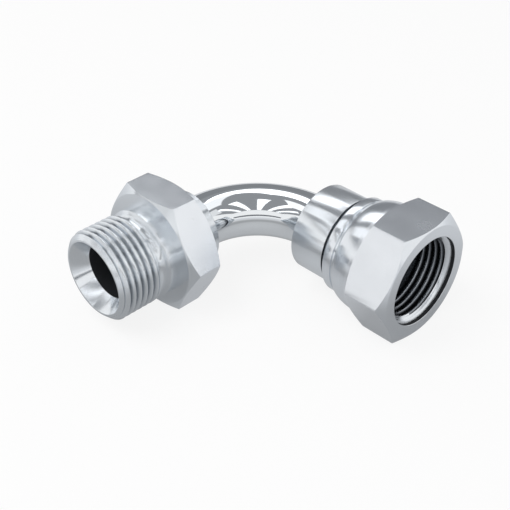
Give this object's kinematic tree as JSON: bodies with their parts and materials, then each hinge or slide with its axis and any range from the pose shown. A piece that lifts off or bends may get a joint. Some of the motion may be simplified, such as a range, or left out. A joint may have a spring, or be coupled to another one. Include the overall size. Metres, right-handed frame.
{
  "type": "swept elbow fitting",
  "caption": "Ninety degree swept elbow: a short bent tube with a fixed male threaded end with an inner cone seat, and a swivel nut on a coned tail at the other end.",
  "frame": {"origin": "on the male axis, where the full male thread begins in front of its relief groove", "axes": "-X out of the male end along its axis, -Y out of the nut end along its axis, Z square to the plane of the bend; flats of both hexagons face +Z and -Z"},
  "size_m": [0.0653, 0.066, 0.027],
  "materials": {
    "stud_steel": "satin zinc plate over turned steel",
    "tube_steel": "bright plate, mirror smooth",
    "tail_steel": "bright zinc plate over turned steel",
    "nut_steel": "satin zinc plate"
  },
  "bodies": {
    "elbow": {"male_stud": "stud_steel", "bend_tube": "tube_steel", "swivel_tail": "tail_steel"},
    "nut": {"swivel_nut": "nut_steel"}
  },
  "joints": [
    {"name": "nut_swivel", "type": "hinge", "parent": "elbow", "child": "nut", "pos_m": [0.04025, -0.034, 0], "axis": [0, -1, 0], "continuous": true}
  ]
}
